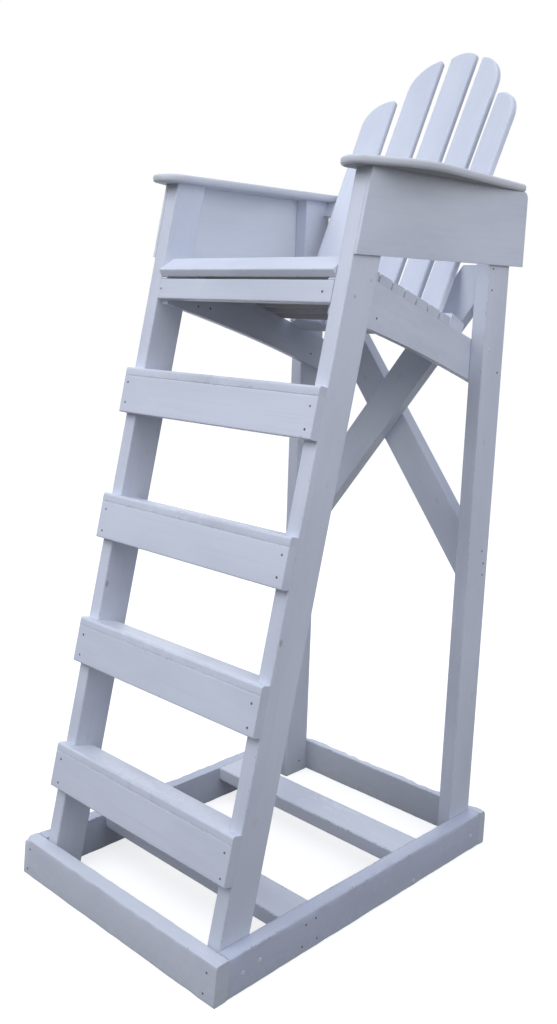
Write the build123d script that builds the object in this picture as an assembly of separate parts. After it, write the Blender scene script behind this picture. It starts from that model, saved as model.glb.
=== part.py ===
from build123d import *
import math
import os

# Open-frame lifeguard chair of painted boards. Lengths in millimetres.
# Front faces minus Y, Z is up, the ground is at zero, left is minus X.

# Boards as they are cut
plank_thickness = 38.0
plank_width = 89.0
thin_thickness = 19.0
edge_ease = 3.0

# Ground frame
base_width = 711.0
base_depth = 1000.0
base_height = 94.0
front_kick = 8.0
back_board_thickness = 25.0
cross_slat_thickness = 36.0
cross_slat_width = 101.0
cross_slat_shares = (-0.228, 0.186)

# Legs and posts
leg_lean = 13.14
leg_foot_gap = 4.3
arm_underside = 1712.0

# Rungs, placed up the leg by shares of the way from the ground frame to the seat rail
rung_shares = (0.1008, 0.3343, 0.5627, 0.7912)
rung_height = 92.0
rung_thickness = 23.5
tread_thickness = 20.0
tread_depth = 80.0
tread_ease = 6.0

# Seat, hung from the height of the arms
nose_drop = 206.0
nose_width = 55.0
nose_tilt = 31.0
nose_overhang = 11.0
rail_drop = 21.4
rail_height = 49.0
seat_slope = 18.4
crest_gap = 22.0
crest_drop = 2.6
seat_slat_count = 8
seat_slat_gap = 5.0
seat_back_gap = 41.0
stringer_front_depth = 91.0
stringer_back_depth = 120.0
left_stringer_trim = 9.0
stringer_arch = 9.0
stringer_end_gap = 12.0

# Back, hollowed and fanned, measured up the slope from the bottom of the arm panels, slats from left to right
recline = 26.62
back_set = 16.3
back_side_gap = 47.8
back_gap = 15.5
back_hollow = 23.0
back_fan = 0.75
back_foot = 178.0
slat_tops = (500.0, 623.0, 637.0, 613.0, 480.0)
slat_rounds = (82.0, 98.0, 12.0, 98.0, 82.0)
tip_round = 7.0
slat_ease = 6.0
lower_rail_foot = 174.0
lower_rail_height = 38.0
lower_rail_thickness = 26.0
upper_rail_behind = 46.0

# Arms, with the plan of an armrest in shares of its width and of the run of the panel
panel_height = 176.0
panel_thickness = 7.0
panel_behind = 48.0
panel_corner = 16.0
armrest_bulge = 79.5
armrest_lap = 27.5
armrest_behind = 46.0
armrest_ease = 8.0
armrest_shares = ((0, -0.083), (0.483, -0.083), (1, 0.184), (0.507, 1), (0, 1))
armrest_rounds = (50.0, 22.0, 300.0, 22.0, 8.0)

# Crossed braces
brace_angle = 52.4
brace_drops = (557.0, 562.0)
brace_setback = 6.0

side_inner = base_width / 2 - plank_thickness
leg_inner = side_inner - plank_thickness
stringer_inner = leg_inner - thin_thickness
front_inner = -base_depth / 2 + plank_thickness
back_inner = base_depth / 2 - back_board_thickness
post_front = back_inner - plank_width
panel_bottom = arm_underside - panel_height
nose_top = arm_underside - nose_drop
slat_places = range(-2, 3)
back_slat_width = (2 * leg_inner - 2 * back_side_gap - 4 * back_gap) / len(slat_places)
back_slat_pitch = back_slat_width + back_gap
lean_sine = math.sin(math.radians(leg_lean))
lean_cosine = math.cos(math.radians(leg_lean))
lean_slope_share = lean_sine / lean_cosine
rail_top = (nose_top - rail_drop - base_height) / lean_cosine
rail_start = rail_top - rail_height
back_plane = Plane(
    origin=(0, post_front + back_set, panel_bottom),
    x_dir=(1, 0, 0),
    z_dir=(0, -math.cos(math.radians(recline)), math.sin(math.radians(recline))),
)


def board(low, high, along):
    """A board between two corners, its long edges eased."""
    size = [b - a for a, b in zip(low, high)]
    middle = [(a + b) / 2 for a, b in zip(low, high)]
    shape = Pos(*middle) * Box(*size)
    return fillet(shape.edges().filter_by(along), edge_ease)


def side_cut(points, x0, x1, soft=(), ease=edge_ease):
    """A board cut to a side view outline, from x0 to x1, with the soft corners of the outline eased."""
    outline = make_face(Polyline(*points, close=True))
    for corner in soft:
        outline = fillet(outline.vertices().sort_by_distance((*corner, 0))[0], ease)
    return extrude(Plane.YZ.offset(x0) * outline, x1 - x0)


def mirror_left(shape):
    return mirror(shape, about=Plane.YZ)


def leg_front(z):
    """Where the front of a leg stands at height z."""
    return front_inner + leg_foot_gap + (z - base_height) * lean_slope_share


def on_leg(up, out):
    """A side view point measured up the leg and out of its front face."""
    y = leg_front(base_height) + up * lean_sine - out * lean_cosine
    return (y, base_height + up * lean_cosine + out * lean_sine)


def ground_frame():
    """The frame on the ground: the front board kicks forward at its foot, the side boards are cut to it."""
    half = base_width / 2
    face = -base_depth / 2
    foot = front_inner - front_kick
    front = [(face - front_kick, 0), (face, base_height), (front_inner, base_height), (foot, 0)]
    side = [(foot, 0), (front_inner, base_height), (back_inner, base_height), (back_inner, 0)]
    right = side_cut(side, side_inner, half)
    right = fillet(right.edges().filter_by(Axis.Y).group_by(Axis.X)[-1], edge_ease)
    made = {
        "base_front_board": side_cut(front, -half, half, front),
        "base_back_board": board((-half, back_inner, 0), (half, base_depth / 2, base_height), Axis.X),
        "base_right_board": right,
        "base_left_board": mirror_left(right),
    }
    slat_low = base_height - cross_slat_thickness
    for name, share in zip(("base_front_slat", "base_middle_slat"), cross_slat_shares):
        start = share * base_depth - cross_slat_width / 2
        end = start + cross_slat_width
        made[name] = board((-side_inner, start, slat_low), (side_inner, end, base_height), Axis.X)
    return made


def legs_and_posts():
    """Leaning front legs, their feet cut to the front board, and upright rear posts."""
    depth = plank_width / lean_cosine
    kick_share = front_kick / base_height
    touch = base_height - leg_foot_gap / (lean_slope_share - kick_share)
    points = [
        (front_inner - front_kick, 0),
        (leg_front(touch), touch),
        (leg_front(arm_underside), arm_underside),
        (leg_front(arm_underside) + depth, arm_underside),
        (leg_front(0) + depth, 0),
    ]
    leg = side_cut(points, leg_inner, side_inner)
    up_leg = Axis((0, 0, 0), (0, lean_sine, lean_cosine))
    leg = fillet(leg.edges().filter_by(up_leg), edge_ease)
    post = board((leg_inner, post_front, 0), (side_inner, back_inner, arm_underside), Axis.Z)
    return {
        "front_leg_right": leg,
        "front_leg_left": mirror_left(leg),
        "rear_post_right": post,
        "rear_post_left": mirror_left(post),
    }


def rungs():
    """Each rung is a riser planted on the leg fronts with a tread on top that runs back between the legs."""
    made = {}
    for number, share in enumerate(rung_shares, 1):
        start = share * rail_start
        top = start + rung_height
        tread_top = top + tread_thickness
        inner = rung_thickness - tread_depth
        riser_front = [on_leg(start, rung_thickness), on_leg(top, rung_thickness)]
        riser = [on_leg(start, 0), *riser_front, on_leg(top, 0)]
        made[f"rung_{number}"] = side_cut(riser, -side_inner, side_inner, riser_front)
        nosing = [on_leg(tread_top, rung_thickness)]
        lip = [on_leg(top, 0), on_leg(top, rung_thickness), *nosing, on_leg(tread_top, 0)]
        step = [on_leg(top, inner), on_leg(top, 0), on_leg(tread_top, 0), on_leg(tread_top, inner)]
        front_part = side_cut(lip, -side_inner, side_inner, nosing, tread_ease)
        made[f"tread_{number}"] = front_part + side_cut(step, -leg_inner, leg_inner, [step[0], step[3]])
    return made


def nose_point(along, up):
    """A side view point measured back along the nose slat and up from its top."""
    sine = math.sin(math.radians(nose_tilt))
    cosine = math.cos(math.radians(nose_tilt))
    start = leg_front(nose_top) - nose_overhang
    return (start + along * cosine - up * sine, nose_top + along * sine + up * cosine)


def seat_point(along, up):
    """A side view point measured down the slope of the seat and up from the tops of its slats."""
    sine = math.sin(math.radians(seat_slope))
    cosine = math.cos(math.radians(seat_slope))
    nose_end = nose_point(nose_width, 0)
    y = nose_end[0] + crest_gap + along * cosine + up * sine
    return (y, nose_end[1] - crest_drop - along * sine + up * cosine)


def seat_run():
    """The way down the seat from its crest to the face of the back."""
    crest = seat_point(0, 0)
    slope = math.radians(seat_slope)
    back_slope_share = math.tan(math.radians(recline))
    across = post_front + back_set - crest[0] + (crest[1] - panel_bottom) * back_slope_share
    return across / (math.cos(slope) + math.sin(slope) * back_slope_share)


def cross_board(place, start, end):
    """A seat slat from leg to leg, drawn between two marks along the given line."""
    top = [place(start, 0), place(end, 0)]
    points = [place(start, -thin_thickness), *top, place(end, -thin_thickness)]
    return side_cut(points, -leg_inner, leg_inner, top)


def seat():
    """Rail, nose slat, sloping slats and the two stringers under them."""
    rail_front = [on_leg(rail_start, 0), on_leg(rail_top, 0)]
    rail = [on_leg(rail_start, -thin_thickness), *rail_front, on_leg(rail_top, -thin_thickness)]
    made = {
        "seat_front_rail": side_cut(rail, -leg_inner, leg_inner, rail_front),
        "seat_slat_1": cross_board(nose_point, 0, nose_width),
    }
    pitch = (seat_run() - seat_back_gap + seat_slat_gap) / seat_slat_count
    for number in range(seat_slat_count):
        start = number * pitch
        made[f"seat_slat_{number + 2}"] = cross_board(seat_point, start, start + pitch - seat_slat_gap)
    made["seat_stringer_right"] = stringer_board(0)
    made["seat_stringer_left"] = mirror_left(stringer_board(left_stringer_trim))
    return made


def stringer_board(trim):
    """The sloping side of the seat: nosed at the front, notched for the rail, hollowed below and trimmed."""
    back_y = back_inner - stringer_end_gap
    seat_front = seat_point(0, -thin_thickness)
    run = (back_y - seat_front[0]) / math.cos(math.radians(seat_slope))
    back_top = seat_point(run, -thin_thickness)
    back_low = (back_y, back_top[1] + thin_thickness - stringer_back_depth + trim)
    front_low_z = nose_top - stringer_front_depth + trim
    front_low = (leg_front(front_low_z) + thin_thickness / lean_cosine, front_low_z)
    front_top = nose_point(nose_overhang, -thin_thickness)
    crest_front = nose_point(nose_width, -thin_thickness)
    notch = (on_leg(rail_top, 0), on_leg(rail_top, -thin_thickness))
    upper = Polyline(back_low, back_top, seat_front, crest_front, front_top, *notch, front_low)
    middle = ((front_low[0] + back_low[0]) / 2, (front_low[1] + back_low[1]) / 2 + stringer_arch)
    face = make_face(upper + ThreePointArc(front_low, middle, back_low))
    return extrude(Plane.YZ.offset(stringer_inner) * face, thin_thickness)


def slat_stand(place):
    """Where slat number place, counted from the middle, stands across the back, forward, and its turn."""
    across = place * back_slat_pitch
    reach = slat_places[-1] * back_slat_pitch
    forward = back_hollow * (across / reach) ** 2
    turn = math.degrees(math.atan(2 * back_hollow * across / reach**2))
    return across, forward, turn


def slat_top(place):
    """The top line of a slat: a shallow crest, or an arc that runs from its outer edge to its inner corner."""
    half = back_slat_width / 2
    top = slat_tops[slat_places.index(place)]
    drop = slat_rounds[slat_places.index(place)]
    if place == 0:
        return ThreePointArc((-half, top - drop), (0, top), (half, top - drop))
    outer = math.copysign(half, place)
    return TangentArc((outer, top - drop), (-outer, top), tangent=(0, 1))


def back_slat(place):
    """One slat of the back, drawn on its own face, turned to the hollow and leaned out with the fan."""
    half = back_slat_width / 2
    top = slat_top(place)
    ends = sorted((top @ 0, top @ 1), key=lambda point: point.X)
    sides = Polyline(ends[0], (-half, -back_foot), (half, -back_foot), ends[1])
    face = make_face(top + sides)
    tips = face.vertices().group_by(Axis.Y)[-1]
    face = fillet(tips, tip_round)
    across, forward, turn = slat_stand(place)
    stand = back_plane * Pos(across, 0, forward) * Rot(0, -turn, 0) * Rot(0, 0, -place * back_fan)
    slat = extrude(face, -thin_thickness)
    slat = chamfer(slat.faces().sort_by(Axis.Z)[0].edges(), edge_ease)
    return stand * fillet(slat.faces().sort_by(Axis.Z)[-1].edges(), slat_ease)


def hollow_line(up):
    """Plan points along the back faces of the slats, from left to right, at one height up the back."""
    points = []
    for place in slat_places:
        across, forward, turn = slat_stand(place)
        sine = math.sin(math.radians(turn))
        cosine = math.cos(math.radians(turn))
        slip = up * math.tan(math.radians(place * back_fan))
        for side in (slip - back_slat_width / 2, slip + back_slat_width / 2):
            x = across + side * cosine + thin_thickness * sine
            points.append((x, forward + side * sine - thin_thickness * cosine))
    return points


def seat_back():
    """Five slats on two rails, both rails cut to the hollow of the slats."""
    made = {}
    for place in slat_places:
        made[f"back_slat_{place + 3}"] = back_slat(place)

    line = hollow_line(lower_rail_height / 2 - lower_rail_foot)
    rear = -thin_thickness - lower_rail_thickness
    left_end = [(-stringer_inner, rear), (-stringer_inner, line[0][1])]
    right_end = [(stringer_inner, line[-1][1]), (stringer_inner, rear)]
    face = make_face(Polyline(*left_end, *line, *right_end, close=True))
    foot = back_plane * Pos(0, -lower_rail_foot, 0) * Rot(90, 0, 0)
    made["back_rail_lower"] = foot * extrude(face, -lower_rail_height)

    middle_z = arm_underside - plank_thickness / 2
    rear = back_inner + upper_rail_behind
    line = hollow_line((middle_z - panel_bottom) / math.cos(math.radians(recline)))
    far = base_depth
    ahead = [(-far, far), (-far, line[0][1]), *line, (far, line[-1][1]), (far, far)]
    cutter = extrude(make_face(Polyline(*ahead, close=True)), -far)
    cutter = back_plane * Pos(0, -back_foot, 0) * Rot(90, 0, 0) * cutter
    behind = Box(2 * side_inner, rear - back_inner, plank_thickness)
    between = Box(2 * leg_inner, rear - post_front, plank_thickness)
    behind = Pos(0, (back_inner + rear) / 2, middle_z) * behind
    between = Pos(0, (post_front + rear) / 2, middle_z) * between
    made["back_rail_upper"] = (behind + between) - cutter
    return made


def arms():
    """A panel outside each leg and post, and an armrest with a swelling outline on top of it."""
    front = leg_front(arm_underside)
    rear = back_inner + panel_behind
    corner = (rear, arm_underside)
    outline = [(leg_front(panel_bottom), panel_bottom), (rear, panel_bottom), corner, (front, arm_underside)]
    panel = side_cut(outline, side_inner, side_inner + panel_thickness, [corner], panel_corner)
    rest = armrest()
    return {
        "arm_panel_right": panel,
        "arm_panel_left": mirror_left(panel),
        "armrest_right": rest,
        "armrest_left": mirror_left(rest),
    }


def armrest():
    """The right armrest: five corners in plan, each rounded to its own radius, and rims rounded all round."""
    front = leg_front(arm_underside)
    run = back_inner + armrest_behind - front
    inner = leg_inner - armrest_lap
    width = side_inner + armrest_bulge - inner
    plan = [(inner + across * width, front + along * run) for across, along in armrest_shares]
    face = make_face(FilletPolyline(*plan, radius=armrest_rounds, close=True))
    rest = extrude(Plane.XY.offset(arm_underside) * face, thin_thickness)
    rims = rest.faces().sort_by(Axis.Z)[0].edges() + rest.faces().sort_by(Axis.Z)[-1].edges()
    return fillet(rims, armrest_ease)


def braces():
    """Two braces crossing between the posts, the front one rising to the right, each cut to the posts."""
    made = {}
    opening = Box(2 * leg_inner, plank_width, panel_bottom)
    opening = Pos(0, (post_front + back_inner) / 2, panel_bottom / 2) * opening
    for name, side, order in (("brace_front", -1, 0), ("brace_rear", 1, 1)):
        y = post_front + brace_setback + order * plank_thickness + plank_thickness / 2
        bar = Box(2 * base_depth, plank_thickness, plank_width)
        bar = fillet(bar.edges().filter_by(Axis.X), edge_ease)
        height = arm_underside - brace_drops[order]
        made[name] = (Pos(0, y, height) * Rot(0, side * brace_angle, 0) * bar) & opening
    return made


shapes = {}
for group in (ground_frame(), legs_and_posts(), rungs(), seat(), seat_back(), arms(), braces()):
    shapes.update(group)
lowest_y = min(shape.bounding_box().min.Y for shape in shapes.values())
highest_y = max(shape.bounding_box().max.Y for shape in shapes.values())
to_middle = Pos(0, -(lowest_y + highest_y) / 2, 0)

os.makedirs("parts", exist_ok=True)
for name, shape in shapes.items():
    export_step(to_middle * shape, f"parts/{name}.step")
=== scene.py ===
"""Looks of the white wooden lifeguard chair: brushed paint, worn edges, screws and plugs, light and camera."""

import logging
import math
from dataclasses import dataclass, field, replace
from enum import Enum
from typing import Any, ClassVar, Mapping, Optional, Sequence, Union

import bmesh
import bpy
from mathutils import Matrix, Vector, noise


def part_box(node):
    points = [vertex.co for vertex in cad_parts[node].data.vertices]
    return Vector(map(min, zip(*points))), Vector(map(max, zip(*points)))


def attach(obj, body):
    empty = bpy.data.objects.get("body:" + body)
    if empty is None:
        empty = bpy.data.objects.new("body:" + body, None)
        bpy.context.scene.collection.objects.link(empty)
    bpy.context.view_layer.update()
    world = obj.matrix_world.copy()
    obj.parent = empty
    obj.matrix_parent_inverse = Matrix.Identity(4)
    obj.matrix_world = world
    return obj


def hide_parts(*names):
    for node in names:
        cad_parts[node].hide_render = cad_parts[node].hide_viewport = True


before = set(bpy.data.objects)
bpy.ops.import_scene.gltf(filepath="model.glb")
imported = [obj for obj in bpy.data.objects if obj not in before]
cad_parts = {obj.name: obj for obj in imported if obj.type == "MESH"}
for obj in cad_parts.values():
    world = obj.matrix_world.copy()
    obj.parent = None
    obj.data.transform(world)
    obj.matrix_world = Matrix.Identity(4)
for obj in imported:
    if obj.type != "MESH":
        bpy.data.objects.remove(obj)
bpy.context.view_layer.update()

LOG = logging.getLogger("lifeguard_chair")
PHOTO_HEIGHT = 1024.0
PHOTO_WIDTH = 557.0

Colour = tuple[float, float, float]
Place = tuple[float, float, float]
Spot = tuple[float, float]
Band = tuple[float, float]
Ramp = tuple[float, ...]
Table = dict[tuple[str, "Side"], tuple[Spot, ...]]
Value = Union["Sock", float, Sequence[float], Any]


def mm(length: float) -> float:
    """Give a length in metres for one in millimetres."""
    return length / 1000.0


def srgb(red: int, green: int, blue: int) -> Colour:
    """Turn a colour as read off a screen into the renderer's linear one.

    Args:
        red: Red from 0 to 255.
        green: Green from 0 to 255.
        blue: Blue from 0 to 255.

    Returns:
        The linear colour.
    """
    def linear(level: int) -> float:
        """Undo the screen's curve for one channel."""
        share = level / 255.0
        return share / 12.92 if share <= 0.04045 else ((share + 0.055) / 1.055) ** 2.4

    return linear(red), linear(green), linear(blue)


# ---------------------------------------------------------------------------------------------------------
# Node trees


@dataclass(frozen=True)
class Waves:
    """Noise by its waves in a metre, along and across the grain, its finer layers, their strength and its bend."""

    along: float
    across: float
    detail: float = 3.0
    rough: float = 0.55
    bend: float = 0.0


class Graph:
    """A node tree that is written with plain calls and arithmetic."""

    def __init__(self, tree: bpy.types.NodeTree) -> None:
        """Start on a tree and clear what is in it.

        Args:
            tree: The tree to write.
        """
        self.tree = tree
        tree.nodes.clear()

    @classmethod
    def of_material(cls, name: str, shown: Colour) -> tuple[bpy.types.Material, "Graph"]:
        """Start a new material.

        Args:
            name: The material's name.
            shown: Its colour in a plain view.

        Returns:
            The material and its empty graph.
        """
        material = bpy.data.materials.new(name)
        material.use_nodes = True
        material.diffuse_color = (*shown, 1.0)
        return material, cls(material.node_tree)

    @staticmethod
    def find(sockets: Any, key: str) -> bpy.types.NodeSocket:
        """Find a socket by its identifier, or else by its name among those in use.

        Args:
            sockets: A node's inputs or outputs.
            key: The identifier or the name.

        Returns:
            The socket.
        """
        in_use = [socket for socket in sockets if socket.enabled]
        for socket in in_use:
            if socket.identifier == key:
                return socket
        for socket in in_use:
            if socket.name == key:
                return socket
        raise KeyError(key)

    def feed(self, socket: bpy.types.NodeSocket, value: Value) -> None:
        """Link a socket to another one, or set its plain value.

        Args:
            socket: The input to feed.
            value: A wrapped socket, a number, a colour, a vector or a data block.
        """
        if isinstance(value, Sock):
            self.tree.links.new(value.socket, socket)
        elif socket.type == "RGBA" and len(value) == 3:
            socket.default_value = (*value, 1.0)
        else:
            socket.default_value = value

    def node(self, kind: str, output: Optional[str] = None, settings: Optional[Mapping[str, Any]] = None,
             sockets: Optional[Mapping[str, Value]] = None) -> "Sock":
        """Add a node of any kind.

        Args:
            kind: The node's type.
            output: The output to hand back, or the first one.
            settings: Properties of the node, set before its sockets.
            sockets: Values of the inputs by identifier or name.

        Returns:
            The wrapped output, or a wrapped input for a node that has no output.
        """
        node = self.tree.nodes.new(kind)
        for name, setting in (settings or {}).items():
            setattr(node, name, setting)
        for key, value in (sockets or {}).items():
            self.feed(self.find(node.inputs, key), value)
        if not node.outputs:
            return Sock(self, node.inputs[0])
        return Sock(self, self.find(node.outputs, output) if output else node.outputs[0])

    def vector(self, operation: str, first: Value, second: Value) -> "Sock":
        """Do vector arithmetic on two values.

        Args:
            operation: The name of the operation.
            first: The first vector.
            second: The second vector.

        Returns:
            The wrapped result.
        """
        return self.node("ShaderNodeVectorMath", "Vector", {"operation": operation},
                         {"Vector": first, "Vector_001": second})

    def blend(self, share: Value, first: Value, second: Value) -> "Sock":
        """Mix two colours.

        Args:
            share: How much of the second colour shows.
            first: The first colour.
            second: The second colour.

        Returns:
            The wrapped colour.
        """
        return self.node("ShaderNodeMix", "Result_Color", {"data_type": "RGBA"},
                         {"Factor_Float": share, "A_Color": first, "B_Color": second})

    def noise(self, at: "Sock", waves: Waves) -> "Sock":
        """Make noise that may be drawn out along one way.

        Args:
            at: The place on the surface.
            waves: What the noise is like.

        Returns:
            The wrapped noise, about 0.5 on average.
        """
        place = self.vector("MULTIPLY", at, (waves.along, waves.across, waves.across))
        return self.node("ShaderNodeTexNoise", "Fac", None,
                         {"Vector": place, "Scale": 1.0, "Detail": waves.detail, "Roughness": waves.rough,
                          "Distortion": waves.bend})

    def bump(self, strength: float, depth: float, height: "Sock") -> "Sock":
        """Bend the surface's normal by a height.

        Args:
            strength: How much of the bend shows.
            depth: How deep a height of 1 is, in metres.
            height: The height.

        Returns:
            The wrapped normal.
        """
        return self.node("ShaderNodeBump", "Normal", None, {"Strength": strength, "Distance": depth, "Height": height})

    def surface(self, sockets: Mapping[str, Value]) -> None:
        """Close a material's graph with its shader.

        Args:
            sockets: Values of the shader's inputs.
        """
        shader = self.node("ShaderNodeBsdfPrincipled", "BSDF", None, sockets)
        self.node("ShaderNodeOutputMaterial", None, None, {"Surface": shader})

    def split(self, vector: "Sock") -> tuple["Sock", "Sock", "Sock"]:
        """Take a vector apart.

        Args:
            vector: The vector.

        Returns:
            Its three numbers.
        """
        parts = self.node("ShaderNodeSeparateXYZ", "X", None, {"Vector": vector}).socket.node.outputs
        return Sock(self, parts[0]), Sock(self, parts[1]), Sock(self, parts[2])


class Sock:
    """An output socket that takes part in arithmetic."""

    def __init__(self, graph: Graph, socket: bpy.types.NodeSocket) -> None:
        """Wrap a socket.

        Args:
            graph: The graph that the socket is in.
            socket: The socket.
        """
        self.graph = graph
        self.socket = socket

    def _math(self, operation: str, *values: Value) -> "Sock":
        """Add a Math node on one or two values."""
        return self.graph.node("ShaderNodeMath", "Value", {"operation": operation},
                               dict(zip(("Value", "Value_001"), values)))

    def __add__(self, other: Value) -> "Sock":
        """Give this plus another value."""
        return self._math("ADD", self, other)

    def __radd__(self, other: Value) -> "Sock":
        """Give another value plus this."""
        return self._math("ADD", other, self)

    def __sub__(self, other: Value) -> "Sock":
        """Give this less another value."""
        return self._math("SUBTRACT", self, other)

    def __rsub__(self, other: Value) -> "Sock":
        """Give another value less this."""
        return self._math("SUBTRACT", other, self)

    def __mul__(self, other: Value) -> "Sock":
        """Give this times another value."""
        return self._math("MULTIPLY", self, other)

    def __rmul__(self, other: Value) -> "Sock":
        """Give another value times this."""
        return self._math("MULTIPLY", other, self)

    def __truediv__(self, other: Value) -> "Sock":
        """Give this over another value."""
        return self._math("DIVIDE", self, other)

    def __rtruediv__(self, other: Value) -> "Sock":
        """Give another value over this."""
        return self._math("DIVIDE", other, self)

    def __pow__(self, other: Value) -> "Sock":
        """Give this to a power."""
        return self._math("POWER", self, other)

    def __rpow__(self, other: Value) -> "Sock":
        """Give another value to this power."""
        return self._math("POWER", other, self)

    def __abs__(self) -> "Sock":
        """Give this without its sign."""
        return self._math("ABSOLUTE", self)

    def largest(self, other: Value) -> "Sock":
        """Give the larger of this and another value."""
        return self._math("MAXIMUM", self, other)

    def smallest(self, other: Value) -> "Sock":
        """Give the smaller of this and another value."""
        return self._math("MINIMUM", self, other)

    def sine(self) -> "Sock":
        """Give the sine of this."""
        return self._math("SINE", self)

    def clamped(self) -> "Sock":
        """Keep this between 0 and 1."""
        return self.smallest(1.0).largest(0.0)

    def hypot(self, other: "Sock") -> "Sock":
        """Give how far off a point is that lies this far one way and another value far across."""
        return (self ** 2.0 + other ** 2.0) ** 0.5

    def swing(self, reach: float) -> "Sock":
        """Give noise as a swing to both sides of 0."""
        return (self - 0.5) * reach

    def rise(self, low: float, high: float, top: float = 1.0) -> "Sock":
        """Rise smoothly from 0.

        Args:
            low: The value up to which it stays 0.
            high: The value from which it stays at the top.
            top: The top.

        Returns:
            The wrapped share.
        """
        return self.graph.node("ShaderNodeMapRange", "Result", {"interpolation_type": "SMOOTHSTEP"},
                               {"Value": self, "From Min": low, "From Max": high, "To Max": top})

    def fall(self, low: float, high: float) -> "Sock":
        """Fall smoothly from 1 to 0 between two values."""
        return 1.0 - self.rise(low, high)


# ---------------------------------------------------------------------------------------------------------
# Boards


class Side(Enum):
    """The two broad sides of a board, along its own face direction."""

    FRONT = 1
    REAR = -1

    @property
    def other(self) -> "Side":
        """The side behind this one."""
        return Side(-self.value)


@dataclass(frozen=True)
class Board:
    """A packed board with its own three ways: along the grain, across it and through its thickness."""

    name: str
    axes: Matrix
    middle: Vector
    half: Vector
    normal_digits: ClassVar[int] = 2
    corner_digits: ClassVar[int] = 5
    grain_shifts: ClassVar[tuple[Band, ...]] = ((0.37, 9.0), (0.73, 7.0), (0.19, 5.0))

    @classmethod
    def of(cls, name: str) -> "Board":
        """Read a board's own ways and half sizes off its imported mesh.

        Args:
            name: The node's name.

        Returns:
            The board.
        """
        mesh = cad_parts[name].data
        sides: dict[tuple[float, ...], list[bpy.types.MeshPolygon]] = {}
        for polygon in mesh.polygons:
            sides.setdefault(tuple(round(c, cls.normal_digits) for c in polygon.normal), []).append(polygon)
        broad = max(sides.values(), key=lambda faces: sum(face.area for face in faces))
        through = sum((face.normal * face.area for face in broad), Vector()).normalized()
        edges: dict[tuple[Any, ...], int] = {}
        for face in broad:
            corners = [tuple(round(c, cls.corner_digits) for c in mesh.vertices[index].co) for index in face.vertices]
            for start, end in zip(corners, corners[1:] + corners[:1]):
                key = tuple(sorted((start, end)))
                edges[key] = edges.get(key, 0) + 1
        rim = [Vector(end) - Vector(start) for (start, end), uses in edges.items() if uses == 1]
        along = max(rim, key=lambda edge: edge.length)
        along = cls.pointed(along - through * along.dot(through))
        through = cls.pointed(through)
        axes = Matrix((along, through.cross(along), through)).transposed()
        corners_in = [axes.transposed() @ vertex.co for vertex in mesh.vertices]
        low = Vector([min(corner[i] for corner in corners_in) for i in range(3)])
        high = Vector([max(corner[i] for corner in corners_in) for i in range(3)])
        return cls(name, axes, axes @ ((low + high) / 2), (high - low) / 2)

    @staticmethod
    def pointed(way: Vector) -> Vector:
        """Turn a direction so that its largest number is positive.

        Args:
            way: The direction.

        Returns:
            The direction at length 1.
        """
        largest = max(range(3), key=lambda i: abs(way[i]))
        return (way if way[largest] > 0 else -way).normalized()

    @property
    def node(self) -> bpy.types.Object:
        """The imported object."""
        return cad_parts[self.name]

    @property
    def seed(self) -> Vector:
        """A shift of the grain that is the board's own."""
        number = sum((index + 1) * ord(letter) for index, letter in enumerate(self.name))
        return Vector([number * share % span for share, span in self.grain_shifts])

    def point(self, spot: Spot, side: Side) -> Vector:
        """Find a place on one of the board's broad sides.

        Args:
            spot: Millimetres along and across from the board's middle.
            side: Which broad side.

        Returns:
            The place in the shared frame.
        """
        inside = Vector((mm(spot[0]), mm(spot[1]), side.value * self.half.z))
        return self.middle + self.axes @ inside

    def facing(self, side: Side) -> Vector:
        """Give the way that a broad side faces."""
        return self.axes.col[2] * side.value


# ---------------------------------------------------------------------------------------------------------
# Finishes


@dataclass(frozen=True)
class Brushwork:
    """How paint lies and ages on any board: its noise, where each mark shows and how strongly.

    A band gives the values, in metres on places, between which a mark fades. A ramp gives the values of noise
    between which it comes up, and its top.
    """

    grain: Waves = Waves(2.2, 34.0, 6.0, 0.62, 0.9)
    lines: Waves = Waves(3.0, 190.0, 3.0, 0.5, 0.3)
    brush: Waves = Waves(11.0, 520.0, 2.0, 0.5)
    cloud: Waves = Waves(2.6, 7.0)
    speck: Waves = Waves(46.0, 70.0, 4.0, 0.6, 0.4)
    fleck: Waves = Waves(130.0, 190.0, 3.0, 0.6)
    thin_cloud: Ramp = (0.32, 0.72, 0.55)
    thin_line: Ramp = (0.5, 0.8, 0.22)
    thin_grain: Ramp = (0.56, 0.74, 0.22)
    fresh_patch: Ramp = (0.56, 0.62)
    rub_band: Band = (0.0, mm(7.0))
    rub_waver: float = mm(14.0)
    rub_dirt: Ramp = (0.4, 0.7, 0.30)
    end_band: Band = (mm(0.5), mm(5.0))
    end_dirt: float = 0.06
    # Darker towards the ground, fading out over this band of height.
    low_band: Band = (0.02, 0.75)
    low_waver: float = 0.25
    low_darkening: float = 0.24
    splash_band: Band = (0.0, 0.07)
    splash_waver: float = 0.09
    splash_dirt: Ramp = (0.35, 0.75, 0.16)
    step_band: Band = (0.05, 0.30)
    step_waver: float = 0.4
    step_speck: Ramp = (0.36, 0.8, 0.5)
    step_cloud: Ramp = (0.4, 0.7, 0.5)
    # Painted shade: the band at an underside that is darkened.
    under_shade_band: Band = (0.0, mm(0.6))
    chip_fleck: Ramp = (0.61, 0.68)
    chip_bare: float = 0.8
    ring_heart: Spot = (0.03, 0.05)
    ring_waves: float = 1700.0
    bump_depth: float = mm(1.1)
    grain_bump: float = 0.55
    line_bump: float = 0.35
    brush_bump: float = 0.2
    ring_bump: float = 0.12
    chip_sink: float = 0.7
    rub_sink: float = 0.9
    even_rough: float = 0.33
    line_rough: float = 0.16
    grain_rough: float = 0.10
    dirt_rough: float = 0.25
    chip_rough: float = 0.25
    specular: float = 0.35


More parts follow.
